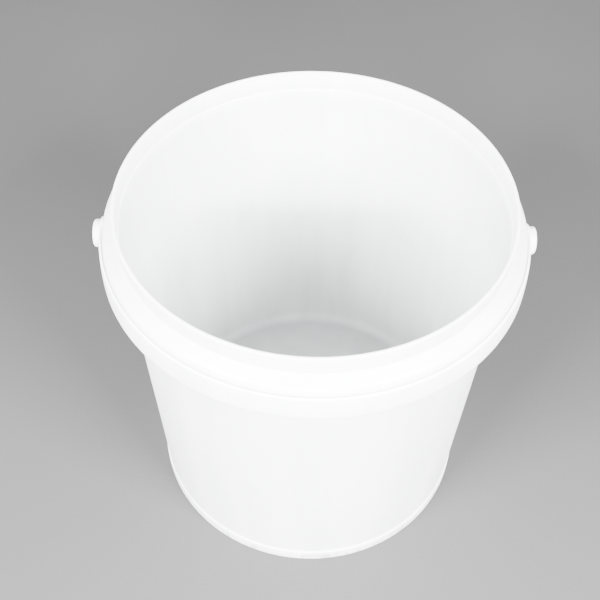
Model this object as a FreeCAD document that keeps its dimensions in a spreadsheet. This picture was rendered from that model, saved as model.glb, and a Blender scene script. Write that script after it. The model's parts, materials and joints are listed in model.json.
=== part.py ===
"""Florist bucket: a tapered plastic pail with a collar, a strap bail handle and two pivot pins.

Frame: +Z up, origin on the bucket's axis at the ground, X along the handle's pivot axis.
-Y is the front, where the handle lies folded down. Millimetres.
"""
import FreeCAD, Part
import math
import os

import Sketcher

# ------------------------------------------------------------------ driving dimensions
DRIVING = (
    ("rim_radius", 100.0, "outer radius of the lip at its top edge"),
    ("rim_height", 207.5, "height of the lip above the ground"),
    ("lip_thickness", 1.9, "thickness of the lip at its top edge"),
    ("lip_round", 0.7, "rounding of the lip's top edges"),
    ("lip_band", 2.0, "height of the wider band just inside the lip"),
    ("band_step", 0.25, "step at the lower edge of that band"),
    ("crease_radius", 99.2, "outer radius of the lip where the shoulder starts"),
    ("crease_height", 196.5, "height of that crease, and of the step inside the wall"),
    ("base_radius", 89.47, "outer radius of the wall, extended down to the ground"),
    ("wall_slope", 0.0489, "growth of the wall's radius per mm of height"),
    ("wall", 1.7, "thickness of the wall"),
    ("floor_top", 7.0, "height of the inner floor"),
    ("floor_underside", 5.0, "height of the recess below the floor"),
    ("floor_corner", 6.0, "radius of the inside corner between floor and wall"),
    ("foot_radius", 90.6, "outer radius of the foot ring"),
    ("foot_height", 8.0, "height of the foot ring"),
    ("foot_width", 2.6, "width of the ring that the bucket stands on"),
    ("foot_round", 0.5, "rounding of the foot ring's outer edges"),
    ("gate_radius", 2.5, "radius of the moulding gate's mark under the floor"),
    ("gate_depth", 0.8, "height of that mark"),
    ("collar_radius", 106.9, "radius of the collar's crowned skirt, about the pivot axis"),
    ("collar_wall", 1.6, "thickness of the collar"),
    ("collar_bottom", 174.0, "height of the skirt's lower edge"),
    ("collar_round", 0.6, "rounding of the skirt's lower edges"),
    ("shoulder_height", 189.5, "height of the centre of the rounded shoulder"),
    ("shoulder_round", 4.5, "outer radius of the rounded shoulder"),
    ("shoulder_turn", 60.0, "angle through which the shoulder rounds over, in degrees"),
    ("pivot_height", 179.0, "height of the pivot axis"),
    ("ear_bottom", 165.5, "height of the lower edge of each ear"),
    ("ear_span", 30.0, "width of an ear, in degrees round the axis"),
    ("ear_lap", 2.0, "how far an ear runs up over the skirt"),
    ("rib_thickness", 1.2, "thickness of the ribs behind an ear"),
    ("rib_inset", 1.0, "distance from an ear's lower edge up to its ribs"),
    ("rib_sink", 0.4, "how far a rib runs into the shoulder above it"),
    ("outer_rib_turn", 14.4, "angle from the pivot axis to an ear's outer ribs, in degrees"),
    ("inner_rib_turn", 5.1, "angle from the pivot axis to an ear's inner ribs, in degrees"),
    ("boss_radius", 6.0, "radius of the boss behind each ear"),
    ("land_radius", 4.5, "radius of the washer land round each pin"),
    ("land_reach", 106.9, "distance of the land's face from the axis"),
    ("ledge_reach", 107.9, "outer radius of the ledges that the handle rests on"),
    ("ledge_toe", 0.2, "how far a ledge's underside stands out from the ear"),
    ("ledge_depth", 2.6, "height of a ledge"),
    ("ledge_span", 8.0, "width of a ledge, in degrees round the axis"),
    ("ledge_gap", 0.3, "gap between the folded handle and the ledge below it"),
    ("strap_inner", 107.2, "inner radius of the handle's crowned strap, about the pivot axis"),
    ("strap_thickness", 1.2, "thickness of the strap"),
    ("strap_bottom", 174.5, "height of the strap's lower edge, folded forward"),
    ("strap_top", 189.0, "height of the strap's upper edge, folded forward"),
    ("strap_round", 0.4, "rounding of the strap's lower edges"),
    ("strap_top_round", 0.9, "rounding of the strap's upper outer edge"),
    ("strap_shoulder", 16.0, "length over which the strap narrows towards its eye"),
    ("eye_radius", 8.5, "outer radius of the handle's eyes"),
    ("eye_proud", 0.1, "how far an eye stands proud of the strap, inside and outside"),
    ("pin_radius", 3.0, "radius of a pin's shank"),
    ("pin_clearance", 0.05, "radial running clearance of an eye on its pin"),
    ("pin_press", 0.02, "radial interference of a pin in its boss"),
    ("pin_tip", 99.8, "distance of a pin's inner end from the axis"),
    ("seat_depth", 0.3, "space left in the boss beyond a pin's inner end"),
    ("pin_lead", 0.6, "size of the lead-in chamfer at a pin's inner end"),
    ("head_radius", 7.2, "radius of a pin's head"),
    ("head_face", 112.3, "distance of the head's outer face from the axis"),
    ("head_round", 1.3, "rounding of the head's outer edge"),
    ("head_gap", 0.2, "gap between an eye and the underside of the head"),
    ("dimple_radius", 2.0, "radius of the dimple in the head"),
    ("dimple_depth", 0.4, "depth of the dimple in the head"),
    ("overrun", 1.0, "how far a feature runs into or past the solid that it joins or cuts"),
)

SIDES = {"right": 0.0, "left": 180.0}

doc = FreeCAD.newDocument("florist_bucket")
sheet = doc.addObject("Spreadsheet::Sheet", "dims")
for row, (alias, value, note) in enumerate(DRIVING, start=1):
    sheet.set(f"A{row}", alias)
    sheet.set(f"B{row}", str(value))
    sheet.set(f"C{row}", note)
    sheet.setAlias(f"B{row}", alias)
doc.recompute()


# ------------------------------------------------------------------ expressions over the sheet
def wall_outer(height):
    """Expression for the wall's outer radius at a height."""
    return f"dims.base_radius + dims.wall_slope * ({height})"


def wall_inner(height):
    return f"{wall_outer(height)} - dims.wall"


def wall_middle(height):
    return f"{wall_outer(height)} - dims.wall / 2"


def crowned(radius, height):
    """The point at a height on a sphere centred on the pivot axis and the bucket's own axis.

    The collar and the strap both follow such spheres, so they keep their distance as the
    handle swings.
    """
    return f"sqrt(({radius})^2 - (({height}) - dims.pivot_height)^2)", height


SHOULDER_REACH = "(dims.collar_radius - dims.shoulder_round)"
SHOULDER_CENTRE = crowned(SHOULDER_REACH, "dims.shoulder_height")[0]


def shoulder_foot(radius):
    """Where a rounding of the given radius meets the crowned skirt below it, tangent to it."""
    share = f"({radius}) / {SHOULDER_REACH}"
    rise = "(dims.shoulder_height - dims.pivot_height)"
    return f"{SHOULDER_CENTRE} * (1 + {share})", f"dims.shoulder_height + {rise} * {share}"


def shoulder_top(radius):
    """The upper end of the shoulder's rounding, for a given radius of rounding."""
    x = f"{SHOULDER_CENTRE} + ({radius}) * cos(dims.shoulder_turn * 1 deg)"
    y = f"dims.shoulder_height + ({radius}) * sin(dims.shoulder_turn * 1 deg)"
    return x, y


# ------------------------------------------------------------------ sketches
NEARLY_ZERO = 1e-9


def origin_feature(body, role):
    for feature in body.Origin.OriginFeatures:
        if feature.Role == role:
            return feature
    raise ValueError(f"{body.Label} has no {role}")


def new_body(label):
    body = doc.addObject("PartDesign::Body", label)
    body.Label = label
    return body


def new_sketch(body, name, plane, lift=None, turn=None):
    """A sketch on one of the body's own planes.

    lift is an expression for its distance along the plane's normal, and turn one for its
    angle round the vertical axis, in degrees.
    """
    sketch = body.newObject("Sketcher::SketchObject", name)
    sketch.AttachmentSupport = [(origin_feature(body, plane), "")]
    sketch.MapMode = "FlatFace"
    if lift:
        sketch.setExpression("AttachmentOffset.Base.z", lift)
    if turn:
        upright = FreeCAD.Rotation(FreeCAD.Vector(0, 1, 0), 1)
        sketch.AttachmentOffset = FreeCAD.Placement(FreeCAD.Vector(), upright)
        sketch.setExpression("AttachmentOffset.Rotation.Angle", turn)
    return sketch


def number(sketch, expression):
    """The present value of an expression over the sheet."""
    return float(sketch.evalExpression(expression))


def bind_point(sketch, geometry, end, point):
    """Fix a point of a sketch to a pair of expressions."""
    for kind, axis, expression in zip(("DistanceX", "DistanceY"), (-2, -1), point):
        value = number(sketch, expression)
        if abs(value) < NEARLY_ZERO:
            sketch.addConstraint(Sketcher.Constraint("PointOnObject", geometry, end, axis))
            continue
        if value > 0:
            constraint = Sketcher.Constraint(kind, -1, 1, geometry, end, value)
        else:
            constraint = Sketcher.Constraint(kind, geometry, end, -1, 1, -value)
            expression = f"-({expression})"
        index = sketch.addConstraint(constraint)
        sketch.setExpression(f"Constraints[{index}]", expression)


def bind_radius(sketch, geometry, expression):
    value = number(sketch, expression)
    index = sketch.addConstraint(Sketcher.Constraint("Radius", geometry, value))
    sketch.setExpression(f"Constraints[{index}]", expression)


def add_line(sketch, start, end):
    """Adds a line and returns its index with the names of its two ends."""
    index = sketch.addGeometry(Part.LineSegment(start, end), False)
    return index, 1, 2


def add_arc(sketch, start, end, radius, anticlockwise):
    """Adds the short arc from start to end, and returns its index with its two ends."""
    chord = end - start
    reach = math.sqrt(radius ** 2 - (chord.Length / 2) ** 2)
    left = FreeCAD.Vector(-chord.y, chord.x, 0).normalize()
    centre = (start + end) * 0.5 + left * (reach if anticlockwise else -reach)
    first, last = (start, end) if anticlockwise else (end, start)
    angles = [math.atan2(p.y - centre.y, p.x - centre.x) for p in (first, last)]
    circle = Part.Circle(centre, FreeCAD.Vector(0, 0, 1), radius)
    index = sketch.addGeometry(Part.ArcOfCircle(circle, angles[0], angles[1]), False)
    return (index, 1, 2) if anticlockwise else (index, 2, 1)


def draw_outline(sketch, steps):
    """Draws a closed outline.

    Each step is a point, as two expressions, and optionally the radius of an arc that leads
    from it to the next point: ("ccw", radius) turns anticlockwise and ("cw", radius) clockwise.
    """
    edges = []
    for here, there in zip(steps, steps[1:] + steps[:1]):
        start = FreeCAD.Vector(number(sketch, here[0]), number(sketch, here[1]), 0)
        end = FreeCAD.Vector(number(sketch, there[0]), number(sketch, there[1]), 0)
        if len(here) == 2:
            edges.append(add_line(sketch, start, end))
        else:
            turn, radius = here[2]
            edges.append(add_arc(sketch, start, end, number(sketch, radius), turn == "ccw"))
    for step, edge, following in zip(steps, edges, edges[1:] + edges[:1]):
        index, first, last = edge
        sketch.addConstraint(Sketcher.Constraint("Coincident", index, last, *following[:2]))
        bind_point(sketch, index, first, step[:2])
        if len(step) == 3:
            bind_radius(sketch, index, step[2][1])


def draw_circle(sketch, centre, radius):
    middle = FreeCAD.Vector(number(sketch, centre[0]), number(sketch, centre[1]), 0)
    circle = Part.Circle(middle, FreeCAD.Vector(0, 0, 1), number(sketch, radius))
    index = sketch.addGeometry(circle, False)
    bind_point(sketch, index, 3, centre)
    bind_radius(sketch, index, radius)


# ------------------------------------------------------------------ features
SAME_PLACE = 1e-3


def check(feature):
    """Recomputes, and stops if the feature is in error."""
    doc.recompute()
    if "Invalid" in feature.State or "Error" in feature.State:
        raise RuntimeError(f"{feature.Label} failed: {feature.State}")
    return feature


def revolve(body, sketch, axis, angle=None, name="revolution"):
    """Revolves a sketch: all the way round, or by an angle with the sketch in its middle."""
    feature = body.newObject("PartDesign::Revolution", name)
    feature.Profile = sketch
    feature.ReferenceAxis = (sketch, [axis])
    if angle:
        feature.Midplane = True
        feature.setExpression("Angle", angle)
    return check(feature)


def pad(body, sketch, length, name, midplane=False):
    feature = body.newObject("PartDesign::Pad", name)
    feature.Profile = sketch
    feature.Midplane = midplane
    feature.setExpression("Length", length)
    return check(feature)


def pocket(body, sketch, name):
    """Cuts a sketch through the whole body, both ways, and makes sure that it cuts."""
    before = body.Shape.Volume
    feature = body.newObject("PartDesign::Pocket", name)
    feature.Profile = sketch
    feature.Type = "ThroughAll"
    feature.Midplane = True
    check(feature)
    if body.Shape.Volume >= before:
        raise RuntimeError(f"{name} cuts nothing")
    return feature


def mirror_right_to_left(body, originals, name):
    feature = body.newObject("PartDesign::Mirrored", name)
    feature.Originals = originals
    feature.MirrorPlane = (origin_feature(body, "YZ_Plane"), [""])
    body.Tip = feature
    return check(feature)


def ring_edges(body, rings):
    """Names of the body's circular edges at the given (radius, height) pairs."""
    names = []
    for index, edge in enumerate(body.Shape.Edges, start=1):
        if not isinstance(edge.Curve, Part.Circle):
            continue
        place = (edge.Curve.Radius, edge.Curve.Center.z)
        if any(math.dist(place, ring) < SAME_PLACE for ring in rings):
            names.append(f"Edge{index}")
    if not names:
        raise ValueError(f"{body.Label} has no edge at {rings}")
    return names


def round_rings(body, sketch, rings, radius, name):
    """Rounds the circular edges at the given pairs of expressions for radius and height."""
    base = body.Tip
    places = [(number(sketch, r), number(sketch, z)) for r, z in rings]
    feature = body.newObject("PartDesign::Fillet", name)
    feature.Base = (base, ring_edges(body, places))
    feature.setExpression("Radius", radius)
    return check(feature)


# ------------------------------------------------------------------ bucket body
LIP_INNER = "dims.rim_radius - dims.lip_thickness"
CREASE_Z = "dims.crease_height"
COLLAR_INNER = "dims.collar_radius - dims.collar_wall"
FOOT_INNER = "dims.foot_radius - dims.foot_width"
SHOULDER_INNER_ROUND = "dims.shoulder_round - dims.collar_wall"
UNDER_SHOULDER = "dims.crease_height - dims.collar_wall"
INSIDE_SKIRT = "dims.collar_radius - dims.collar_wall * 0.8"


def add_tub(body):
    """The whole revolved moulding: floor, foot ring, wall, lip, shoulder and skirt."""
    sketch = new_sketch(body, "tub_outline", "XZ_Plane")
    lip_inner_low = f"{LIP_INNER} - dims.band_step"
    band_bottom = "dims.rim_height - dims.lip_band"
    draw_outline(sketch, [
        ("0", "dims.floor_underside"),
        (FOOT_INNER, "dims.floor_underside"),
        (FOOT_INNER, "0"),
        ("dims.foot_radius", "0"),
        ("dims.foot_radius", "dims.foot_height"),
        (wall_outer("dims.foot_height"), "dims.foot_height"),
        (wall_outer(UNDER_SHOULDER), UNDER_SHOULDER),
        (*shoulder_top(SHOULDER_INNER_ROUND), ("cw", SHOULDER_INNER_ROUND)),
        (*shoulder_foot(SHOULDER_INNER_ROUND), ("cw", COLLAR_INNER)),
        crowned(COLLAR_INNER, "dims.collar_bottom"),
        (*crowned("dims.collar_radius", "dims.collar_bottom"), ("ccw", "dims.collar_radius")),
        (*shoulder_foot("dims.shoulder_round"), ("ccw", "dims.shoulder_round")),
        shoulder_top("dims.shoulder_round"),
        ("dims.crease_radius", CREASE_Z),
        ("dims.rim_radius", "dims.rim_height"),
        (LIP_INNER, "dims.rim_height"),
        (LIP_INNER, band_bottom),
        (lip_inner_low, band_bottom),
        (lip_inner_low, CREASE_Z),
        (wall_inner(CREASE_Z), CREASE_Z),
        (wall_inner("dims.floor_top"), "dims.floor_top"),
        ("0", "dims.floor_top"),
    ])
    revolve(body, sketch, "V_Axis", name="tub")
    rim = [("dims.rim_radius", "dims.rim_height"), (LIP_INNER, "dims.rim_height")]
    foot = [("dims.foot_radius", "0"), ("dims.foot_radius", "dims.foot_height")]
    skirt = [crowned(radius, "dims.collar_bottom") for radius in ("dims.collar_radius", COLLAR_INNER)]
    corner = [(wall_inner("dims.floor_top"), "dims.floor_top")]
    round_rings(body, sketch, corner, "dims.floor_corner", "floor_corner_round")
    round_rings(body, sketch, rim, "dims.lip_round", "lip_rounds")
    round_rings(body, sketch, foot, "dims.foot_round", "foot_rounds")
    round_rings(body, sketch, skirt, "dims.collar_round", "skirt_rounds")


def add_gate_mark(body):
    sketch = new_sketch(body, "gate_circle", "XY_Plane", "dims.floor_underside - dims.gate_depth")
    draw_circle(sketch, ("0", "0"), "dims.gate_radius")
    pad(body, sketch, "dims.gate_depth + dims.overrun", "gate_mark")


def add_ear(body):
    """The skirt's deeper stretch round the right-hand pivot."""
    sketch = new_sketch(body, "ear_outline", "XZ_Plane")
    top = "dims.collar_bottom + dims.ear_lap"
    draw_outline(sketch, [
        crowned(COLLAR_INNER, "dims.ear_bottom"),
        (*crowned("dims.collar_radius", "dims.ear_bottom"), ("ccw", "dims.collar_radius")),
        crowned("dims.collar_radius", top),
        (*crowned(COLLAR_INNER, top), ("cw", COLLAR_INNER)),
    ])
    return revolve(body, sketch, "V_Axis", "dims.ear_span", "ear")


def add_ledge(body, name, top, turn):
    """A ledge on the ear, sloping back to the skirt underneath, for the handle to rest on."""
    sketch = new_sketch(body, f"{name}_outline", "XZ_Plane", turn=turn)
    bottom = f"{top} - dims.ledge_depth"
    toe, _ = crowned("dims.collar_radius", bottom)
    draw_outline(sketch, [
        (INSIDE_SKIRT, bottom),
        (f"{toe} + dims.ledge_toe", bottom),
        ("dims.ledge_reach", f"{top} - dims.ledge_depth / 3"),
        ("dims.ledge_reach", top),
        (INSIDE_SKIRT, top),
    ])
    return revolve(body, sketch, "V_Axis", "dims.ledge_span", name)


def add_rib(body, index, turn):
    """A radial rib that ties the ear to the wall."""
    sketch = new_sketch(body, f"ear_rib_{index}_outline", "XZ_Plane", turn=turn)
    bottom = "dims.ear_bottom + dims.rib_inset"
    draw_outline(sketch, [
        (wall_middle(bottom), bottom),
        (INSIDE_SKIRT, bottom),
        (INSIDE_SKIRT, "dims.shoulder_height"),
        shoulder_top(f"{SHOULDER_INNER_ROUND} + dims.rib_sink"),
        (wall_middle(UNDER_SHOULDER), f"{UNDER_SHOULDER} + dims.rib_sink"),
    ])
    return pad(body, sketch, "dims.rib_thickness", f"ear_rib_{index}", midplane=True)


def add_pin_seat(body):
    """The boss that takes the right-hand pin, with the land for the handle's eye."""
    start = wall_middle("dims.pivot_height")
    boss_sketch = new_sketch(body, "boss_circle", "YZ_Plane", start)
    draw_circle(boss_sketch, ("0", "dims.pivot_height"), "dims.boss_radius")
    boss_length = f"{COLLAR_INNER} + dims.collar_wall / 2 - ({start})"
    boss = pad(body, boss_sketch, boss_length, "boss")
    land_sketch = new_sketch(body, "land_circle", "YZ_Plane", COLLAR_INNER)
    draw_circle(land_sketch, ("0", "dims.pivot_height"), "dims.land_radius")
    land = pad(body, land_sketch, f"dims.land_reach - ({COLLAR_INNER})", "land")
    seat_end = "dims.pin_tip - dims.seat_depth"
    seat_sketch = new_sketch(body, "seat_circle", "YZ_Plane", seat_end)
    draw_circle(seat_sketch, ("0", "dims.pivot_height"), "dims.pin_radius - dims.pin_press")
    before = body.Shape.Volume
    seat = body.newObject("PartDesign::Pocket", "pin_seat")
    seat.Profile = seat_sketch
    seat.Reversed = True
    seat.setExpression("Length", f"dims.land_reach - ({seat_end}) + dims.overrun")
    check(seat)
    if body.Shape.Volume >= before:
        raise RuntimeError("pin_seat cuts nothing")
    return [boss, land, seat]


def make_bucket_body():
    body = new_body("bucket_body")
    add_tub(body)
    add_gate_mark(body)
    ledge_turn = "(dims.ear_span - dims.ledge_span) / 2"
    front_top = "dims.strap_bottom - dims.ledge_gap"
    rear_top = "2 * dims.pivot_height - dims.strap_top - dims.ledge_gap"
    one_side = [
        add_ear(body),
        add_ledge(body, "front_ledge", front_top, f"-{ledge_turn}"),
        add_ledge(body, "rear_ledge", rear_top, ledge_turn),
    ]
    rib_angles = ("dims.outer_rib_turn", "dims.inner_rib_turn")
    rib_turns = [sign + angle for angle in rib_angles for sign in ("-", "")]
    for index, turn in enumerate(rib_turns, start=1):
        one_side.append(add_rib(body, index, turn))
    one_side += add_pin_seat(body)
    mirror_right_to_left(body, one_side, "left_side")
    return body


# ------------------------------------------------------------------ bail handle
STRAP_OUTER = "dims.strap_inner + dims.strap_thickness"


TO_THE_FRONT = "-90"
HALF_TURN = "180"


def make_bail_handle():
    """Half a ring of crowned strap, folded forward, with a flat round eye at each end."""
    body = new_body("bail_handle")
    sketch = new_sketch(body, "strap_outline", "XZ_Plane", turn=TO_THE_FRONT)
    inner_top = crowned("dims.strap_inner", "dims.strap_top")
    outer_top = crowned(STRAP_OUTER, "dims.strap_top")
    inner_bottom = crowned("dims.strap_inner", "dims.strap_bottom")
    outer_bottom = crowned(STRAP_OUTER, "dims.strap_bottom")
    draw_outline(sketch, [
        inner_bottom,
        (*outer_bottom, ("ccw", STRAP_OUTER)),
        outer_top,
        (*inner_top, ("cw", "dims.strap_inner")),
    ])
    revolve(body, sketch, "V_Axis", HALF_TURN, "strap")
    round_rings(body, sketch, [inner_bottom, outer_bottom], "dims.strap_round", "strap_rounds")
    round_rings(body, sketch, [outer_top], "dims.strap_top_round", "strap_top_round")

    corner = new_sketch(body, "strap_corner", "YZ_Plane")
    eye_top = "dims.pivot_height + dims.eye_radius"
    draw_outline(corner, [
        ("-dims.strap_shoulder", "dims.strap_top"),
        ("dims.overrun", eye_top),
        ("dims.overrun", "dims.strap_top + dims.overrun"),
        ("-dims.strap_shoulder", "dims.strap_top + dims.overrun"),
    ])
    pocket(body, corner, "strap_corner_cut")

    eye_sketch = new_sketch(body, "eye_circle", "YZ_Plane", "dims.strap_inner - dims.eye_proud")
    draw_circle(eye_sketch, ("0", "dims.pivot_height"), "dims.eye_radius")
    eye = pad(body, eye_sketch, "dims.strap_thickness + 2 * dims.eye_proud", "eye")
    mirror_right_to_left(body, [eye], "left_eye")

    hole = new_sketch(body, "eye_hole_circle", "YZ_Plane")
    draw_circle(hole, ("0", "dims.pivot_height"), "dims.pin_radius + dims.pin_clearance")
    pocket(body, hole, "eye_holes")
    return body


# ------------------------------------------------------------------ pivot pins
def make_pivot_pin(side):
    """A headed pin, turned about its own axis and set in place for its side."""
    body = new_body(f"{side}_pivot_pin")
    sketch = new_sketch(body, f"{side}_pin_outline", "XZ_Plane")
    under_head = f"{STRAP_OUTER} + dims.eye_proud + dims.head_gap"
    draw_outline(sketch, [
        ("dims.pin_tip", "0"),
        ("dims.pin_tip", "dims.pin_radius - dims.pin_lead"),
        ("dims.pin_tip + dims.pin_lead", "dims.pin_radius"),
        (under_head, "dims.pin_radius"),
        (under_head, "dims.head_radius"),
        ("dims.head_face - dims.head_round", "dims.head_radius", ("cw", "dims.head_round")),
        ("dims.head_face", "dims.head_radius - dims.head_round"),
        ("dims.head_face", "dims.dimple_radius"),
        ("dims.head_face - dims.dimple_depth", "dims.dimple_radius - dims.dimple_depth"),
        ("dims.head_face - dims.dimple_depth", "0"),
    ])
    revolve(body, sketch, "H_Axis", name=f"{side}_pin")
    turned = FreeCAD.Rotation(FreeCAD.Vector(0, 0, 1), SIDES[side])
    body.Placement = FreeCAD.Placement(FreeCAD.Vector(), turned)
    body.setExpression("Placement.Base.z", "dims.pivot_height")
    return body


# ------------------------------------------------------------------ build, check and write
def check_document():
    for item in doc.Objects:
        if "Invalid" in item.State or "Error" in item.State:
            raise RuntimeError(f"{item.Label} is in error: {item.State}")


def write_parts(bodies):
    os.makedirs("parts", exist_ok=True)
    for body in bodies:
        if body.Shape.isNull() or not body.Shape.isValid() or len(body.Shape.Solids) != 1:
            raise RuntimeError(f"{body.Label} isn't one valid solid")
    for body in bodies:
        body.Shape.exportStep(os.path.join("parts", f"{body.Label}.step"))
        print(f"{body.Label}: {body.Shape.Volume / 1000:.1f} cm3, box {body.Shape.BoundBox}")


parts = [make_bucket_body(), make_bail_handle()]
parts += [make_pivot_pin(side) for side in SIDES]
doc.recompute()
check_document()
write_parts(parts)
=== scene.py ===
import json
import math

import bmesh
import bpy
from mathutils import Matrix, Vector


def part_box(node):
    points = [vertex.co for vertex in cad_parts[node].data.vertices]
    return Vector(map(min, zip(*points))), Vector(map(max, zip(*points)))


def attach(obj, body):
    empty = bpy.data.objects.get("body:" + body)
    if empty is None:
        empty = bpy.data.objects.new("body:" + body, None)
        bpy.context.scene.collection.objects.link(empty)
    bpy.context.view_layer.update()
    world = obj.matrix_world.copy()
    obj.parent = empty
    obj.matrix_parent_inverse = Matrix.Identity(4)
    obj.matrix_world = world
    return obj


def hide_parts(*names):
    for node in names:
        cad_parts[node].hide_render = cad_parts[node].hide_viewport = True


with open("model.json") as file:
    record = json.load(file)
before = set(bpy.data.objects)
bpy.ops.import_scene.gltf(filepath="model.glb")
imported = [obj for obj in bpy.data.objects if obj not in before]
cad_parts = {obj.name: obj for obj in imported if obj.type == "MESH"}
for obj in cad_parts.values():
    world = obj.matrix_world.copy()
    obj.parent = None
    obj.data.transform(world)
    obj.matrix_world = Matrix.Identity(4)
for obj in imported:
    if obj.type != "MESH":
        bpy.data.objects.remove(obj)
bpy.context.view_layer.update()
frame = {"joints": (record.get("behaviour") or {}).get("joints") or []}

MM = 0.001

# ------------------------------------------------------------------ sizes, from the frame
BODY_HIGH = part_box("bucket_body")[1]
STRAP_LOW, STRAP_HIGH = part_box("bail_handle")
PIN_LOW, PIN_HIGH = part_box("right_pivot_pin")
PIVOT_Z = frame["joints"][0]["pos_m"][2]

HEIGHT = BODY_HIGH.z
COLLAR_R = BODY_HIGH.y
LIP_R = COLLAR_R - 6.9 * MM
LIP_WALL = 1.9 * MM
LIP_BAND = 2.0 * MM
LIP_STEP = 0.25 * MM
GROOVE = 0.3 * MM
CREASE_R = LIP_R - 0.8 * MM
CREASE_Z = HEIGHT - 11.0 * MM
WALL = 1.7 * MM
WALL_SLOPE = 0.0489
WALL_FOOT_R = 89.47 * MM
WALL_RINGS = 85
RING_STEP = 2.2 * MM
FLOOR_Z = 7.0 * MM
FLOOR_CORNER = 6.0 * MM
UNDERSIDE_Z = 5.0 * MM
FOOT_R = 90.6 * MM
FOOT_INNER_R = FOOT_R - 2.6 * MM
FOOT_Z = 8.0 * MM
COLLAR_WALL = 1.6 * MM
SKIRT_Z = PIVOT_Z - 5.0 * MM
SHOULDER_Z = PIVOT_Z + 10.5 * MM
SHOULDER_ROUND = 4.5 * MM
SHOULDER_TURN = 60
EAR_DROP = 8.5 * MM
EAR_HALF = 15.0
EAR_BLEND = 1.1

HANDLE_GAP = 0.3 * MM
LEDGE_REACH = 1.0 * MM
LEDGE_DEPTH = 2.6 * MM
LEDGE_SPAN = 8.0
LEDGE_FROM_EAR_EDGE = 4.0
RIB_THICKNESS = 1.2 * MM
RIB_PLACES = (-0.48, -0.17, 0.17, 0.48)
BOSS_R = 6.0 * MM
LAND_R = 4.5 * MM
SEAT_DEPTH = 0.3 * MM
GATE_R = 2.2 * MM
GATE_DROP = 0.8 * MM

STRAP_OUTER = STRAP_HIGH.x - 0.1 * MM
STRAP_WALL = 1.2 * MM
STRAP_BOTTOM = PIVOT_Z - 4.5 * MM
STRAP_TOP = STRAP_HIGH.z
EYE_R = PIVOT_Z - STRAP_LOW.z
EYE_PROUD = 0.1 * MM
EYE_NARROWING = 16 * MM
BORE_CLEARANCE = 0.05 * MM

PIN_FACE = PIN_HIGH.x
PIN_TIP = PIN_LOW.x
HEAD_R = PIN_HIGH.z - PIVOT_Z
PIN_R = 3.0 * MM
PIN_BEVEL = 0.6 * MM
PIN_CLEARANCE = 0.02 * MM
HEAD_UNDER = STRAP_OUTER + EYE_PROUD + 0.2 * MM
DIMPLE_R = 2.0 * MM
DIMPLE_DEPTH = 0.4 * MM


# ------------------------------------------------------------------ outlines
def arc(centre, radius, start, end, steps=6):
    """Points of an arc in the outline's plane, angles in degrees."""
    points = []
    for i in range(steps + 1):
        a = math.radians(start + (end - start) * i / steps)
        points.append((centre[0] + radius * math.cos(a), centre[1] + radius * math.sin(a)))
    return points


def rounded(corner, before, after, radius, steps=4):
    """A corner of an outline, rounded between its neighbours."""
    p, a, b = (Vector(q) for q in (corner, before, after))
    to_a = (a - p).normalized()
    to_b = (b - p).normalized()
    half = to_a.angle(to_b) / 2
    reach = radius / math.tan(half)
    centre = p + (to_a + to_b).normalized() * (radius / math.sin(half))
    start = p + to_a * reach - centre
    turn = start.angle_signed(p + to_b * reach - centre)
    return [tuple(centre + Matrix.Rotation(-turn * i / steps, 2) @ start) for i in range(steps + 1)]


def outline(points):
    """A chain of points, each with a rounding radius (0 leaves a corner sharp)."""
    result = []
    for i, (x, y, radius) in enumerate(points):
        if radius:
            before = points[i - 1][:2]
            after = points[i + 1][:2]
            result += rounded((x, y), before, after, radius)
        else:
            result.append((x, y))
    return result


def crowned(radius, z):
    """Distance from the bucket's axis of a sphere about the pivot axis, at a height.

    The collar and the strap follow such spheres, so they keep their distance as the handle swings.
    """
    return math.sqrt(radius ** 2 - (z - PIVOT_Z) ** 2)


def shoulder_centre():
    return crowned(COLLAR_R - SHOULDER_ROUND, SHOULDER_Z), SHOULDER_Z


def wall_outer(z):
    return WALL_FOOT_R + WALL_SLOPE * z


def wall_inner(z):
    return wall_outer(z) - WALL


# ------------------------------------------------------------------ mesh making
def new_object(name, mesh):
    obj = bpy.data.objects.new(name, mesh)
    bpy.context.scene.collection.objects.link(obj)
    return obj


def finish_mesh(bm, name):
    """Turns a bmesh into a smooth object with its faces facing outwards."""
    bmesh.ops.recalc_face_normals(bm, faces=bm.faces)
    mesh = bpy.data.meshes.new(name)
    bm.to_mesh(mesh)
    bm.free()
    mesh.shade_smooth()
    return new_object(name, mesh)


def lathe(name, profile, angles, place, closed=True):
    """Revolves a profile of (radius, height) points; place(radius, height, angle) gives a point.

    The profile is a closed loop, or with closed=False a chain whose two ends lie on the axis.
    """
    bm = bmesh.new()
    columns = []
    poles = {}
    for angle in angles:
        column = []
        for i, (r, h) in enumerate(profile):
            on_axis = not closed and i in (0, len(profile) - 1)
            if on_axis and i not in poles:
                poles[i] = bm.verts.new(place(0.0, h, 0.0))
            column.append(poles[i] if on_axis else bm.verts.new(place(r, h, angle)))
        columns.append(column)
    rows = len(profile) if closed else len(profile) - 1
    for column, following in zip(columns, columns[1:] + columns[:1]):
        for i in range(rows):
            j = (i + 1) % len(profile)
            corners = [column[i], following[i], following[j], column[j]]
            bm.faces.new(list(dict.fromkeys(corners)))
    return finish_mesh(bm, name)


def sweep(name, sections):
    """Joins a row of equal loops of points into a closed solid, with its ends capped."""
    bm = bmesh.new()
    loops = [[bm.verts.new(p) for p in section] for section in sections]
    count = len(loops[0])
    for loop, following in zip(loops, loops[1:]):
        for i in range(count):
            j = (i + 1) % count
            bm.faces.new((loop[i], loop[j], following[j], following[i]))
    bm.faces.new(loops[0])
    bm.faces.new(loops[-1])
    return finish_mesh(bm, name)


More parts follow.
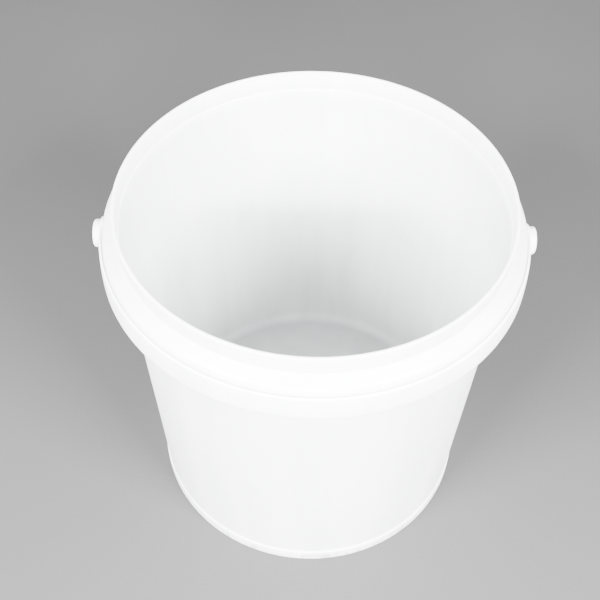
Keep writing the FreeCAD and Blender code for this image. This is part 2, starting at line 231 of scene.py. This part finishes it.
def combine(target, other, operation):
    """Applies a boolean of another object to target, and removes the other object."""
    modifier = target.modifiers.new("boolean", "BOOLEAN")
    modifier.operation = operation
    modifier.object = other
    modifier.solver = "EXACT"
    bpy.context.view_layer.update()
    evaluated = target.evaluated_get(bpy.context.evaluated_depsgraph_get())
    mesh = bpy.data.meshes.new_from_object(evaluated)
    target.modifiers.clear()
    target.data = mesh
    bpy.data.objects.remove(other)


def round_z(r, h, angle):
    """A point on a lathe about the bucket's axis."""
    return (r * math.cos(angle), r * math.sin(angle), h)


def round_pivot(side):
    """Placing for a lathe about the pivot axis, where height runs outwards along X."""
    def place(r, h, angle):
        return (side * h, r * math.cos(angle), PIVOT_Z + r * math.sin(angle))
    return place


def even_angles(count):
    return [2 * math.pi * i / count for i in range(count)]


# ------------------------------------------------------------------ bucket
def ear_share(angle):
    """1 on the two ears, 0 away from them, with a short smooth step between."""
    off = abs((math.degrees(angle) + 90) % 180 - 90)
    t = (EAR_HALF + EAR_BLEND / 2 - off) / EAR_BLEND
    t = min(max(t, 0.0), 1.0)
    return t * t * (3 - 2 * t)


def bucket_angles():
    """Even steps round the bucket, with finer ones at the edges of the ears."""
    degrees = {1.5 * i for i in range(240)}
    for pivot in (0, 180):
        for side in (-1, 1):
            for i in range(-5, 6):
                degrees.add((pivot + side * (EAR_HALF + 0.15 * i)) % 360)
    return [math.radians(d) for d in sorted(degrees)]


def crowned_line(radius, start, end, steps=8):
    """Points down or up a crowned face between two heights."""
    heights = [start + (end - start) * i / steps for i in range(steps + 1)]
    return [(crowned(radius, z), z) for z in heights]


def bucket_profile():
    """The tub's outline from the middle of its underside round to the middle of its floor.

    The underside starts with the raised mark that the mould's gate leaves.
    """
    shoulder = shoulder_centre()
    lean = math.degrees(math.asin((SHOULDER_Z - PIVOT_Z) / (COLLAR_R - SHOULDER_ROUND)))
    skirt_inner = COLLAR_R - COLLAR_WALL
    under_z = CREASE_Z - COLLAR_WALL
    foot = outline([
        (FOOT_INNER_R - 4 * MM, UNDERSIDE_Z, 0),
        (FOOT_INNER_R, UNDERSIDE_Z, 0.6 * MM),
        (FOOT_INNER_R, 0, 0.4 * MM),
        (FOOT_R, 0, 0.5 * MM),
        (FOOT_R, FOOT_Z, 0.5 * MM),
        (wall_outer(FOOT_Z) + 0.1 * MM, FOOT_Z, 0),
    ])
    outer_heights = [FOOT_Z + 0.2 * MM + RING_STEP * i for i in range(WALL_RINGS)]
    outer_wall = [(wall_outer(z), z) for z in outer_heights]
    under = [(wall_outer(under_z), under_z)]
    under += arc(shoulder, SHOULDER_ROUND - COLLAR_WALL, SHOULDER_TURN, lean, 6)
    back = crowned_line(skirt_inner, under[-1][1], SKIRT_Z)
    over = arc(shoulder, SHOULDER_ROUND, lean, SHOULDER_TURN, 10)
    face = crowned_line(COLLAR_R, SKIRT_Z, over[0][1])
    lower_edge = outline([
        (*back[-2], 0),
        (*back[-1], 0.6 * MM),
        (*face[0], 0.6 * MM),
        (*face[1], 0),
    ])[1:-1]
    lip_inner = LIP_R - LIP_WALL
    lip = outline([
        (*over[-1], 0),
        (CREASE_R + 1.2 * GROOVE, CREASE_Z - 0.5 * GROOVE, 0.1 * MM),
        (CREASE_R - GROOVE, CREASE_Z + 0.2 * GROOVE, 0.05 * MM),
        (CREASE_R + 0.1 * GROOVE, CREASE_Z + 1.6 * GROOVE, 0.1 * MM),
        (LIP_R, HEIGHT, 0.75 * MM),
        (lip_inner, HEIGHT, 0.7 * MM),
        (lip_inner, HEIGHT - LIP_BAND, 0.1 * MM),
        (lip_inner + GROOVE, HEIGHT - LIP_BAND - 0.5 * GROOVE, 0.05 * MM),
        (lip_inner - LIP_STEP, HEIGHT - LIP_BAND - 1.2 * GROOVE, 0.1 * MM),
        (lip_inner - LIP_STEP, CREASE_Z + 1.2 * GROOVE, 0.1 * MM),
        (lip_inner - LIP_STEP + GROOVE, CREASE_Z + 0.5 * GROOVE, 0.05 * MM),
        (wall_inner(CREASE_Z), CREASE_Z - 0.1 * MM, 0.15 * MM),
        (wall_inner(FLOOR_Z + FLOOR_CORNER), FLOOR_Z + FLOOR_CORNER, 0),
    ])[1:-1]
    top = CREASE_Z - 2 * MM
    bottom = FLOOR_Z + FLOOR_CORNER + 1 * MM
    inner_heights = [top + (bottom - top) * i / (WALL_RINGS - 1) for i in range(WALL_RINGS)]
    inner_wall = [(wall_inner(z), z) for z in inner_heights]
    corner = rounded((wall_inner(FLOOR_Z), FLOOR_Z), inner_wall[-1], (0, FLOOR_Z), FLOOR_CORNER, 10)
    floor = [(r * MM, FLOOR_Z) for r in (78, 70, 60, 50, 40, 30, 20, 10, 4, 0)]
    gate = [
        (0, UNDERSIDE_Z - GATE_DROP),
        (GATE_R, UNDERSIDE_Z - GATE_DROP),
        (GATE_R + 0.3 * MM, UNDERSIDE_Z - GATE_DROP + 0.3 * MM),
        (GATE_R + 0.4 * MM, UNDERSIDE_Z),
        (GATE_R + 1 * MM, UNDERSIDE_Z),
    ]
    below = [(r * MM, UNDERSIDE_Z) for r in (10, 20, 30, 40, 50, 60, 70, 80)]
    outside = gate + below + foot + outer_wall
    collar = under + back[1:-1] + lower_edge + face[1:-1] + over[:-1]
    return outside + collar + lip + inner_wall + corner + floor


def place_bucket(r, h, angle):
    """Lowers the skirt's edge on the ears, and leaves everything else round."""
    face = math.hypot(r, h - PIVOT_Z)
    if face > COLLAR_R - COLLAR_WALL - 0.5 * MM and SKIRT_Z - 1 * MM < h < SHOULDER_Z:
        share = (SHOULDER_Z - h) / (SHOULDER_Z - SKIRT_Z)
        h -= EAR_DROP * ear_share(angle) * min(share, 1.0)
        r = crowned(face, h)
    return round_z(r, h, angle)


def turned(points, angle):
    """Points turned round the bucket's axis, angle in degrees."""
    rotation = Matrix.Rotation(math.radians(angle), 3, "Z")
    return [rotation @ Vector(p) for p in points]


def make_ledge(name, top, angle):
    """A ledge that the folded handle rests on, sloping back to the ear underneath."""
    root = COLLAR_R - 0.8 * COLLAR_WALL
    reach = COLLAR_R + LEDGE_REACH
    bottom = top - LEDGE_DEPTH
    loop = outline([
        (root, bottom, 0),
        (crowned(COLLAR_R, bottom) + 0.2 * MM, bottom, 0.15 * MM),
        (reach, top - LEDGE_DEPTH / 3, 0.3 * MM),
        (reach, top, 0.25 * MM),
        (root, top, 0),
    ])
    section = [(r, 0.0, z) for r, z in loop]
    steps = 12
    turns = [angle + LEDGE_SPAN * (i / steps - 0.5) for i in range(steps + 1)]
    return sweep(name, [turned(section, turn) for turn in turns])


def make_rib(name, angle):
    """A radial rib between the ear and the wall."""
    half = RIB_THICKNESS / 2
    bottom = SKIRT_Z - EAR_DROP + 1 * MM
    tip = COLLAR_R - 0.8 * COLLAR_WALL
    under_z = CREASE_Z - COLLAR_WALL
    bend = SHOULDER_ROUND - COLLAR_WALL + 0.4 * MM
    top = arc(shoulder_centre(), bend, SHOULDER_TURN, SHOULDER_TURN, 1)[0]
    shape = [
        (wall_outer(bottom) - WALL / 2, bottom),
        (tip, bottom),
        (tip, SHOULDER_Z),
        top,
        (wall_outer(under_z) - WALL / 2, under_z + 0.4 * MM),
    ]
    sections = [turned([(r, y, z) for r, z in shape], angle) for y in (-half, half)]
    return sweep(name, sections)


def make_bucket():
    bucket = lathe("bucket", bucket_profile(), bucket_angles(), place_bucket, closed=False)
    ledge_angle = EAR_HALF - LEDGE_FROM_EAR_EDGE
    front_top = STRAP_BOTTOM - HANDLE_GAP
    rear_top = 2 * PIVOT_Z - STRAP_TOP - HANDLE_GAP
    boss_root = wall_outer(PIVOT_Z) - WALL / 2
    boss_tip = COLLAR_R - COLLAR_WALL / 2
    boss = outline([
        (0, boss_root, 0),
        (BOSS_R, boss_root, 0),
        (BOSS_R, boss_tip, 0),
        (LAND_R, boss_tip, 0),
        (LAND_R, COLLAR_R, 0.04 * MM),
        (0, COLLAR_R, 0),
    ])
    extras = []
    for pivot, mirror in ((0, 1), (180, -1)):
        extras.append(make_ledge(f"front_{pivot}", front_top, pivot - mirror * ledge_angle))
        extras.append(make_ledge(f"rear_{pivot}", rear_top, pivot + mirror * ledge_angle))
        for share in RIB_PLACES:
            extras.append(make_rib(f"rib_{pivot}_{share}", pivot + share * 2 * EAR_HALF))
        extras.append(lathe(f"boss_{pivot}", boss, even_angles(48), round_pivot(mirror), closed=False))
    for extra in extras:
        combine(bucket, extra, "UNION")
    seat_end = PIN_TIP - SEAT_DEPTH
    seat = [(0, seat_end), (PIN_R, seat_end), (PIN_R, PIN_FACE), (0, PIN_FACE)]
    for side in (1, -1):
        hole = lathe(f"seat_{side}", seat, even_angles(48), round_pivot(side), closed=False)
        combine(bucket, hole, "DIFFERENCE")
    bucket.data.shade_smooth()
    return bucket


# ------------------------------------------------------------------ handle
def strap_section(inner, outer, low, high, angle):
    """The strap's crowned section at an angle round the bucket, in degrees."""
    back = crowned_line(inner, high, low)
    face = crowned_line(outer, low, high)
    loop = outline([
        (*back[-2], 0),
        (*back[-1], 0.4 * MM),
        (*face[0], 0.4 * MM),
        (*face[1], 0),
    ])[1:-1]
    loop += face[1:-1]
    loop += outline([
        (*face[-2], 0),
        (*face[-1], 0.9 * MM),
        (*back[0], 0.12 * MM),
        (*back[1], 0),
    ])[1:-1]
    loop += back[1:-1]
    return turned([(r, 0.0, z) for r, z in loop], angle)


def make_handle():
    """A half ring of strap with a flat round eye at each end."""
    inner = STRAP_OUTER - STRAP_WALL
    eye_top = PIVOT_Z + EYE_R - 0.1 * MM
    sections = []
    count = 160
    for i in range(count + 1):
        angle = 180 + 180 * i / count
        along = STRAP_OUTER * math.radians(min(angle - 180, 360 - angle))
        t = min(along / EYE_NARROWING, 1.0)
        high = eye_top + (STRAP_TOP - eye_top) * t * t * (3 - 2 * t)
        sections.append(strap_section(inner, STRAP_OUTER, STRAP_BOTTOM, high, angle))
    handle = sweep("handle", sections)
    disc = outline([
        (0, inner - EYE_PROUD, 0),
        (EYE_R, inner - EYE_PROUD, 0.4 * MM),
        (EYE_R, STRAP_OUTER + EYE_PROUD, 0.4 * MM),
        (0, STRAP_OUTER + EYE_PROUD, 0),
    ])
    bore_r = PIN_R + BORE_CLEARANCE
    bore_start = inner - 4 * MM
    bore_end = STRAP_OUTER + 4 * MM
    bore = [(0, bore_start), (bore_r, bore_start), (bore_r, bore_end), (0, bore_end)]
    for side in (1, -1):
        eye = lathe(f"eye_{side}", disc, even_angles(96), round_pivot(side), closed=False)
        combine(handle, eye, "UNION")
        hole = lathe(f"hole_{side}", bore, even_angles(64), round_pivot(side), closed=False)
        combine(handle, hole, "DIFFERENCE")
    handle.data.shade_smooth()
    return handle


# ------------------------------------------------------------------ pins
def make_pin(name, side):
    """A pin with a round head, a soft edge and a shallow dimple."""
    shank_r = PIN_R - PIN_CLEARANCE
    profile = outline([
        (0, PIN_TIP, 0),
        (PIN_R - PIN_BEVEL, PIN_TIP, 0.15 * MM),
        (shank_r, PIN_TIP + PIN_BEVEL, 0.15 * MM),
        (shank_r, HEAD_UNDER, 0),
        (HEAD_R, HEAD_UNDER, 0.25 * MM),
        (HEAD_R, PIN_FACE, 1.3 * MM),
        (DIMPLE_R, PIN_FACE, 0.2 * MM),
        (DIMPLE_R - DIMPLE_DEPTH, PIN_FACE - DIMPLE_DEPTH, 0.2 * MM),
        (0, PIN_FACE - DIMPLE_DEPTH, 0),
    ])
    return lathe(name, profile, even_angles(96), round_pivot(side), closed=False)


# ------------------------------------------------------------------ materials
class Nodes:
    """A short way to build a material's node tree."""

    def __init__(self, name):
        self.material = bpy.data.materials.new(name)
        self.material.use_nodes = True
        self.tree = self.material.node_tree
        self.shader = self.tree.nodes["Principled BSDF"]
        self.place = self.add("ShaderNodeTexCoord").outputs["Object"]

    def add(self, kind, **values):
        node = self.tree.nodes.new(kind)
        for key, value in values.items():
            setattr(node, key, value)
        return node

    def link(self, output, socket):
        self.tree.links.new(output, socket)

    def noise(self, scale, detail=4.0, stretch=(1, 1, 1), distortion=0.0):
        """Noise over the object's own coordinates, in cycles per metre."""
        mapping = self.add("ShaderNodeMapping")
        mapping.inputs["Scale"].default_value = [scale * s for s in stretch]
        self.link(self.place, mapping.inputs["Vector"])
        noise = self.add("ShaderNodeTexNoise")
        noise.inputs["Scale"].default_value = 1.0
        noise.inputs["Detail"].default_value = detail
        noise.inputs["Distortion"].default_value = distortion
        self.link(mapping.outputs["Vector"], noise.inputs["Vector"])
        return noise.outputs["Fac"]

    def spread(self, source, low, high, new_low, new_high):
        """Maps a value from one range to another, held at the ends."""
        node = self.add("ShaderNodeMapRange")
        node.inputs["From Min"].default_value = low
        node.inputs["From Max"].default_value = high
        node.inputs["To Min"].default_value = new_low
        node.inputs["To Max"].default_value = new_high
        self.link(source, node.inputs["Value"])
        return node.outputs["Result"]

    def math(self, operation, first, second):
        node = self.add("ShaderNodeMath", operation=operation)
        for socket, value in zip(node.inputs, (first, second)):
            if isinstance(value, (int, float)):
                socket.default_value = value
            else:
                self.link(value, socket)
        return node.outputs[0]

    def mix(self, factor, first, second):
        """Mixes two colours, each a plain one or a node's output."""
        node = self.add("ShaderNodeMix", data_type="RGBA")
        self.link(factor, node.inputs["Factor"])
        sockets = [socket for socket in node.inputs if socket.type == "RGBA"]
        for socket, value in zip(sockets, (first, second)):
            if isinstance(value, tuple):
                socket.default_value = (*value, 1.0)
            else:
                self.link(value, socket)
        return [socket for socket in node.outputs if socket.type == "RGBA"][0]

    def tint(self, first, second):
        """Multiplies two colours."""
        node = self.add("ShaderNodeMix", data_type="RGBA", blend_type="MULTIPLY")
        node.inputs["Factor"].default_value = 1.0
        colours = [socket for socket in node.inputs if socket.type == "RGBA"]
        self.link(first, colours[0])
        self.link(second, colours[1])
        return [socket for socket in node.outputs if socket.type == "RGBA"][0]

    def bump(self, height, strength, distance, before=None):
        node = self.add("ShaderNodeBump")
        node.inputs["Strength"].default_value = strength
        node.inputs["Distance"].default_value = distance
        self.link(height, node.inputs["Height"])
        if before is not None:
            self.link(before, node.inputs["Normal"])
        return node.outputs["Normal"]


def painted_shade_shares(n):
    """Masks from 0 to 1 for the painted shade: how far a point of the bucket is on its wall, and how
    far on its floor.
    """
    parts = n.add("ShaderNodeSeparateXYZ")
    n.link(n.place, parts.inputs[0])
    x, y, z = parts.outputs
    across = n.math("SQRT", n.math("ADD", n.math("MULTIPLY", x, x), n.math("MULTIPLY", y, y)), 0.0)
    below_lip = n.spread(z, CREASE_Z - 6 * MM, CREASE_Z, 1, 0)
    off_collar = n.spread(across, wall_outer(CREASE_Z) + 1 * MM, COLLAR_R - 3 * MM, 1, 0)
    inner_floor = n.spread(across, FOOT_INNER_R - FLOOR_CORNER, FOOT_INNER_R, 1, 0)
    low = n.spread(z, FLOOR_Z, FLOOR_Z + 2 * MM, 1, 0)
    return n.math("MULTIPLY", below_lip, off_collar), n.math("MULTIPLY", inner_floor, low)


def scuffs(n):
    """Grey rubbing low on the foot, and fainter in small patches all over, as a colour to tint with."""
    parts = n.add("ShaderNodeSeparateXYZ")
    n.link(n.place, parts.inputs[0])
    near_ground = n.spread(parts.outputs[2], 4 * MM, 6.8 * MM, 1, 0)
    grain = n.spread(n.noise(170, 5, stretch=(1, 1, 0.5), distortion=0.8), 0.48, 0.66, 0, 1)
    patches = n.spread(n.noise(34, 4), 0.60, 0.74, 0, 0.30)
    on_foot = n.math("MULTIPLY", near_ground, grain)
    elsewhere = n.math("MULTIPLY", patches, grain)
    return n.mix(n.math("MAXIMUM", on_foot, elsewhere), (1, 1, 1), (0.64, 0.64, 0.63))


def polypropylene(name, clear, milky, roughness, glow, wall_shade=None, floor=None):
    """Satin white moulded plastic that lets some light through, glow metres deep.

    The optional wall and floor tints are painted shade: greyer colours painted on the bucket's wall
    and on its floor, standing in for the dark inside and the shaded ground seen through the plastic.
    """
    n = Nodes(name)
    cloud = n.noise(22, 3)
    colour = n.mix(n.spread(cloud, 0.3, 0.7, 0, 1), clear, milky)
    if wall_shade:
        on_wall, on_floor = painted_shade_shares(n)
        # painted shade: the wall and floor tints darken the base colour where shade shows through the
        # plastic
        shade = n.mix(on_floor, n.mix(on_wall, (1, 1, 1), wall_shade), floor)
        colour = n.tint(colour, shade)
    flow = n.noise(60, 5, stretch=(1, 1, 0.12), distortion=0.4)
    streaks = n.mix(n.spread(flow, 0.35, 0.65, 0, 1), (0.90, 0.91, 0.91), (1, 1, 1))
    n.link(n.tint(n.tint(colour, streaks), scuffs(n)), n.shader.inputs["Base Color"])
    scratches = n.spread(n.noise(420, 2, stretch=(0.08, 0.08, 1.6)), 0.62, 0.72, 0, 1)
    rough = n.spread(flow, 0.25, 0.75, roughness - 0.05, roughness + 0.06)
    rough = n.math("ADD", rough, n.math("MULTIPLY", scratches, 0.10))
    n.link(rough, n.shader.inputs["Roughness"])
    peel = n.bump(n.noise(900, 2), 0.10, 0.00006)
    wave = n.bump(flow, 0.12, 0.0003, peel)
    n.link(n.bump(scratches, 0.25, 0.00003, wave), n.shader.inputs["Normal"])
    n.shader.inputs["IOR"].default_value = 1.49
    n.shader.inputs["Subsurface Weight"].default_value = 1.0
    n.shader.inputs["Subsurface Radius"].default_value = (1.0, 1.0, 1.0)
    n.shader.inputs["Subsurface Scale"].default_value = glow
    return n.material


def floor_cloth(name):
    """Plain studio cloth; its grey comes out pale under the strong lights."""
    n = Nodes(name)
    cloud = n.spread(n.noise(3, 3), 0.3, 0.7, 0, 1)
    colour = n.mix(cloud, (0.050, 0.050, 0.050), (0.058, 0.058, 0.058))
    n.link(colour, n.shader.inputs["Base Color"])
    n.link(n.spread(n.noise(700, 2), 0.3, 0.7, 0.75, 0.9), n.shader.inputs["Roughness"])
    n.link(n.bump(n.noise(1500, 2), 0.3, 0.0002), n.shader.inputs["Normal"])
    return n.material


def paint(obj, material):
    obj.data.materials.clear()
    obj.data.materials.append(material)


# ------------------------------------------------------------------ stage
def make_floor():
    """A round sheet of cloth with a soft edge, its top at the ground."""
    radius = 1.1
    depth = 0.02
    profile = [(0, 0), (radius - depth, 0), (radius, -depth / 4), (radius, -depth), (0, -depth)]
    floor = lathe("floor", profile, even_angles(128), round_z, closed=False)
    paint(floor, floor_cloth("floor_cloth"))


def add_area_light(name, place, target, size, power):
    light = bpy.data.lights.new(name, "AREA")
    light.shape = "RECTANGLE"
    light.size = size[0]
    light.size_y = size[1]
    light.energy = power
    obj = bpy.data.objects.new(name, light)
    obj.location = place
    obj.rotation_euler = (Vector(target) - Vector(place)).to_track_quat("-Z", "Y").to_euler()
    bpy.context.scene.collection.objects.link(obj)


def add_lights():
    """Two softboxes in front at the sides, and a narrower one between them for the inside."""
    target = (0, 0, 0.16)
    for name, x in (("left_softbox", -0.82), ("right_softbox", 0.82)):
        add_area_light(name, (x, -0.85, 0.93), target, (0.6, 0.6), 172)
    add_area_light("front_softbox", (0.0, -1.30, 0.82), target, (0.30, 0.10), 60)
    world = bpy.data.worlds.new("studio")
    world.use_nodes = True
    background = world.node_tree.nodes["Background"]
    background.inputs["Color"].default_value = (1, 1, 1, 1)
    background.inputs["Strength"].default_value = 0.62
    bpy.context.scene.world = world


def add_camera():
    """The camera looks down into the bucket from the front."""
    pitch = math.radians(49.732)
    yaw = math.radians(-0.163)
    roll = math.radians(0.883)
    ahead = math.cos(pitch)
    forward = Vector((math.sin(yaw) * ahead, math.cos(yaw) * ahead, -math.sin(pitch)))
    right = Vector((math.cos(yaw), -math.sin(yaw), 0))
    up = right.cross(forward)
    tilted_right = right * math.cos(roll) + up * math.sin(roll)
    tilted_up = up * math.cos(roll) - right * math.sin(roll)
    data = bpy.data.cameras.new("camera")
    data.lens = 60.455
    data.sensor_width = 36.0
    data.clip_start = 0.01
    camera = bpy.data.objects.new("camera", data)
    axes = Matrix((tilted_right, tilted_up, -forward)).transposed()
    place = Matrix.Translation((-0.00587, -0.35783, 0.55108))
    camera.matrix_world = place @ axes.to_4x4()
    bpy.context.scene.collection.objects.link(camera)
    bpy.context.scene.camera = camera


# ------------------------------------------------------------------ assembly
def main():
    clear = (0.91, 0.92, 0.92)
    milky = (0.94, 0.95, 0.95)
    # painted shade tints for the bucket's wall and floor, standing in for the shade seen through them
    painted_wall_shade = (0.86, 0.86, 0.86)
    painted_floor_shade = (0.62, 0.63, 0.63)
    bucket_plastic = polypropylene("bucket_polypropylene", clear, milky, 0.34, 3 * MM,
                                   wall_shade=painted_wall_shade, floor=painted_floor_shade)
    handle_plastic = polypropylene("handle_polypropylene", clear, milky, 0.36, 1.5 * MM)
    pin_plastic = polypropylene("pin_plastic", (0.91, 0.91, 0.90), (0.94, 0.94, 0.93), 0.32, 1.5 * MM)

    bucket = make_bucket()
    paint(bucket, bucket_plastic)
    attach(bucket, "bucket")
    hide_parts("bucket_body")

    handle = make_handle()
    paint(handle, handle_plastic)
    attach(handle, "handle")
    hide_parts("bail_handle")

    for side, word in ((1, "right"), (-1, "left")):
        pin = make_pin(f"{word}_pin", side)
        paint(pin, pin_plastic)
        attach(pin, "bucket")
        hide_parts(f"{word}_pivot_pin")

    make_floor()
    add_lights()
    add_camera()


main()
